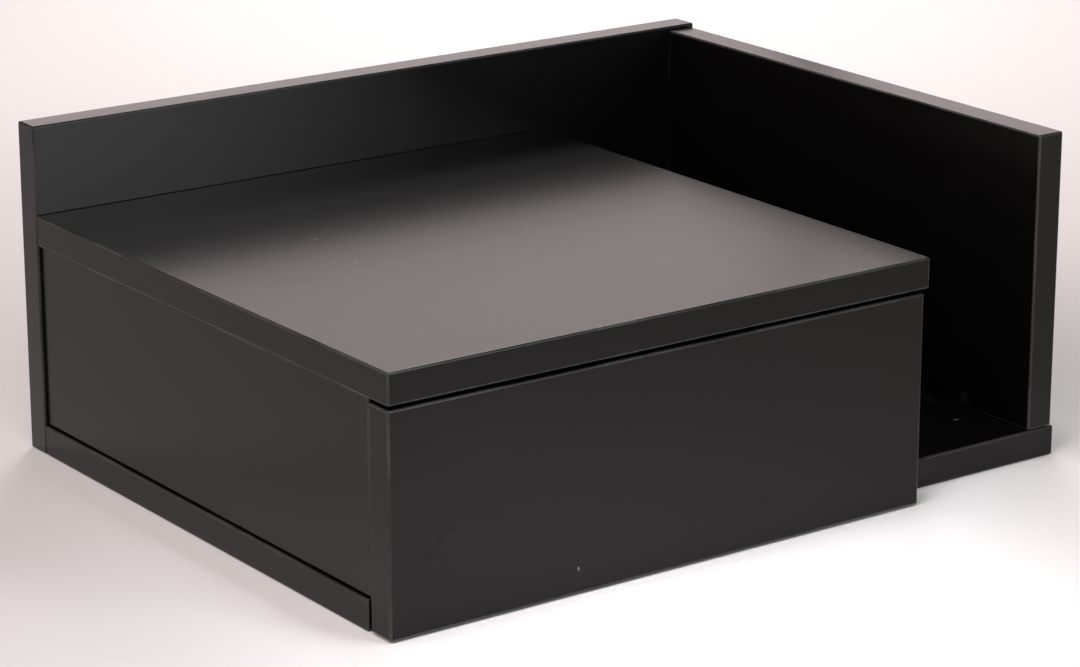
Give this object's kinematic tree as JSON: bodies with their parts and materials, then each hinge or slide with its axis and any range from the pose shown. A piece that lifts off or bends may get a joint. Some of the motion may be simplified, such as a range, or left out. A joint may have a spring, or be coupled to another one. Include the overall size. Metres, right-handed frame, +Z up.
{
  "type": "desk hutch",
  "caption": "Small black wall or desk hutch: a handleless drawer on ball-bearing runners under a shelf, an open niche beside it, and a raised back and right side.",
  "frame": {"origin": "middle of the footprint, on the plane of the underside", "axes": "+X to the viewer's right along the width, +Y back to the wall, +Z up"},
  "size_m": [0.4, 0.32, 0.165],
  "materials": {
    "black_lacquer": "satin black lacquer on fibreboard",
    "drawer_foil": "matt black foil on board",
    "hardboard": "painted hardboard",
    "zinc_plate": "zinc plated steel",
    "bearing_steel": "bright steel",
    "grey_plastic": "moulded grey plastic"
  },
  "bodies": {
    "carcass": {"back_panel": "black_lacquer", "back_screw_1": "zinc_plate", "back_screw_2": "zinc_plate", "back_screw_3": "zinc_plate", "back_screw_4": "zinc_plate", "back_screw_5": "zinc_plate", "back_screw_6": "zinc_plate", "back_screw_7": "zinc_plate", "back_screw_8": "zinc_plate", "bottom_panel": "black_lacquer", "bottom_screw_1": "zinc_plate", "bottom_screw_2": "zinc_plate", "bottom_screw_3": "zinc_plate", "bottom_screw_4": "zinc_plate", "bottom_screw_5": "zinc_plate", "bottom_screw_6": "zinc_plate", "cabinet_runner_screw_left_1": "zinc_plate", "cabinet_runner_screw_left_2": "zinc_plate", "cabinet_runner_screw_right_1": "zinc_plate", "cabinet_runner_screw_right_2": "zinc_plate", "cam_bolt_left": "bearing_steel", "cam_bolt_right": "bearing_steel", "cam_lock_left": "zinc_plate", "cam_lock_right": "zinc_plate", "divider_panel": "black_lacquer", "hanger_plate_left": "zinc_plate", "hanger_plate_right": "zinc_plate", "hanger_screw_left_lower": "zinc_plate", "hanger_screw_left_upper": "zinc_plate", "hanger_screw_right_lower": "zinc_plate", "hanger_screw_right_upper": "zinc_plate", "latch_sleeve": "grey_plastic", "latch_spring": "bearing_steel", "left_side_panel": "black_lacquer", "right_side_panel": "black_lacquer", "runner_cabinet_left": "zinc_plate", "runner_cabinet_right": "zinc_plate", "top_panel": "black_lacquer"},
    "drawer": {"drawer_back": "drawer_foil", "drawer_floor": "hardboard", "drawer_front": "black_lacquer", "drawer_inner_front": "drawer_foil", "drawer_left_side": "drawer_foil", "drawer_right_side": "drawer_foil", "drawer_runner_screw_left_1": "zinc_plate", "drawer_runner_screw_left_2": "zinc_plate", "drawer_runner_screw_right_1": "zinc_plate", "drawer_runner_screw_right_2": "zinc_plate", "front_screw_left": "zinc_plate", "front_screw_right": "zinc_plate", "runner_drawer_left": "zinc_plate", "runner_drawer_right": "zinc_plate", "strike_plate": "zinc_plate"},
    "runner_middle_left": {"runner_middle_left": "zinc_plate"},
    "outer_cage_left": {"ball_outer_cage_left": "bearing_steel"},
    "inner_cage_left": {"ball_inner_cage_left": "bearing_steel"},
    "runner_middle_right": {"runner_middle_right": "zinc_plate"},
    "outer_cage_right": {"ball_outer_cage_right": "bearing_steel"},
    "inner_cage_right": {"ball_inner_cage_right": "bearing_steel"},
    "latch_plunger": {"latch_plunger": "grey_plastic"}
  },
  "joints": [
    {"name": "drawer_slide", "type": "slide", "parent": "carcass", "child": "drawer", "axis": [0, -1, 0], "range_m": [0, 0.225]},
    {"name": "outer_cage_left_slide", "type": "slide", "parent": "carcass", "child": "outer_cage_left", "axis": [0, -1, 0], "range_m": [0, 0.05675]},
    {"name": "runner_middle_left_slide", "type": "slide", "parent": "carcass", "child": "runner_middle_left", "axis": [0, -1, 0], "range_m": [0, 0.113]},
    {"name": "inner_cage_left_slide", "type": "slide", "parent": "carcass", "child": "inner_cage_left", "axis": [0, -1, 0], "range_m": [0, 0.16925]},
    {"name": "outer_cage_right_slide", "type": "slide", "parent": "carcass", "child": "outer_cage_right", "axis": [0, -1, 0], "range_m": [0, 0.05675]},
    {"name": "runner_middle_right_slide", "type": "slide", "parent": "carcass", "child": "runner_middle_right", "axis": [0, -1, 0], "range_m": [0, 0.113]},
    {"name": "inner_cage_right_slide", "type": "slide", "parent": "carcass", "child": "inner_cage_right", "axis": [0, -1, 0], "range_m": [0, 0.16925]},
    {"name": "latch_press", "type": "slide", "parent": "carcass", "child": "latch_plunger", "axis": [0, 1, 0], "range_m": [0, 0.0025], "stiffness_N_per_m": 400, "springref_m": -0.004, "deforming": ["latch_spring"]}
  ],
  "couplings": [
    {"joint": "outer_cage_left_slide", "follows": "drawer_slide", "ratio": 0.25},
    {"joint": "runner_middle_left_slide", "follows": "drawer_slide", "ratio": 0.5},
    {"joint": "inner_cage_left_slide", "follows": "drawer_slide", "ratio": 0.75},
    {"joint": "outer_cage_right_slide", "follows": "drawer_slide", "ratio": 0.25},
    {"joint": "runner_middle_right_slide", "follows": "drawer_slide", "ratio": 0.5},
    {"joint": "inner_cage_right_slide", "follows": "drawer_slide", "ratio": 0.75}
  ]
}
